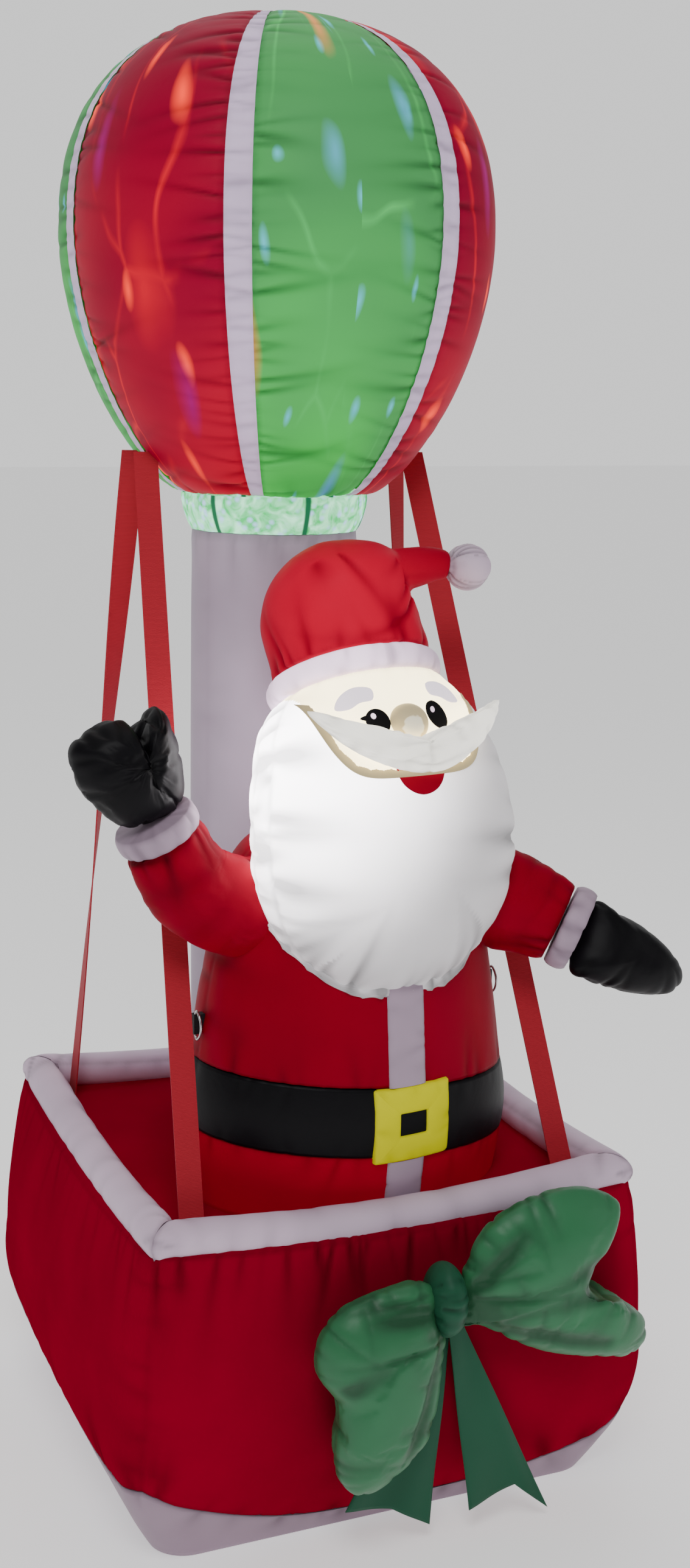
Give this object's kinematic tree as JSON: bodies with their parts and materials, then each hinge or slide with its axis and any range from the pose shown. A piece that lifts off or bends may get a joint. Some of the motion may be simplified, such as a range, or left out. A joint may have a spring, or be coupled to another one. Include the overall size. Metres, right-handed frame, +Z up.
{
  "type": "inflatable santa",
  "caption": "Inflatable garden figure: a bearded man in a red winter suit waves from the basket of a striped hot-air balloon with a bow on its front.",
  "frame": {"origin": "centre of the basket base, on the ground", "axes": "+Z up through the balloon, -Y the front of the basket with the bow, +X to the right seen from the front"},
  "size_m": [0.9028, 0.984, 2.1003],
  "materials": {
    "balloon_green": "green nylon, lit from inside",
    "balloon_red": "red nylon, lit from inside",
    "balloon_tape": "white nylon tape, lit from inside",
    "basket_rim": "white nylon",
    "strap_webbing": "woven polyester webbing",
    "steel": "nickel-plated wire",
    "tab_webbing": "woven webbing",
    "bow_green": "green nylon",
    "suit_red": "red nylon",
    "trim_white": "white nylon",
    "black_nylon": "black nylon",
    "basket_red": "red nylon",
    "basket_white": "white nylon",
    "column_white": "white nylon",
    "collar_lit": "thin nylon lit green from inside",
    "buckle_yellow": "yellow nylon",
    "face_cream": "cream nylon",
    "beard_white": "white nylon, lit from inside",
    "moustache_grey": "grey nylon",
    "nose_tan": "cream nylon with a tan edge"
  },
  "bodies": {
    "root": {"balloon_tape_1": "balloon_tape", "balloon_tape_2": "balloon_tape", "balloon_tape_3": "balloon_tape", "balloon_tape_4": "balloon_tape", "balloon_tape_5": "balloon_tape", "balloon_tape_6": "balloon_tape", "basket": "basket_red", "basket_base": "basket_white", "beard": "beard_white", "belt": "black_nylon", "bow_knot": "bow_green", "bow_loop_left": "bow_green", "bow_loop_right": "bow_green", "bow_tail_left": "bow_green", "bow_tail_right": "bow_green", "buckle": "buckle_yellow", "collar": "collar_lit", "column": "column_white", "cuff_lowered": "trim_white", "cuff_raised": "trim_white", "gore_1": "balloon_green", "gore_2": "balloon_red", "gore_3": "balloon_green", "gore_4": "balloon_red", "gore_5": "balloon_green", "gore_6": "balloon_red", "hat": "suit_red", "hat_brim": "trim_white", "hat_pompom": "trim_white", "head": "face_cream", "jacket": "suit_red", "jacket_skirt": "suit_red", "mitten_lowered": "black_nylon", "mitten_raised": "black_nylon", "moustache": "moustache_grey", "nose": "nose_tan", "placket_lower": "trim_white", "placket_upper": "trim_white", "rim_back": "basket_rim", "rim_front": "basket_rim", "rim_left": "basket_rim", "rim_right": "basket_rim", "sleeve_lowered": "suit_red", "sleeve_raised": "suit_red", "strap_back_left": "strap_webbing", "strap_back_right": "strap_webbing", "strap_front_left": "strap_webbing", "strap_front_right": "strap_webbing", "tether_ring_left": "steel", "tether_ring_right": "steel", "tether_tab_left": "tab_webbing", "tether_tab_right": "tab_webbing"}
  },
  "joints": []
}
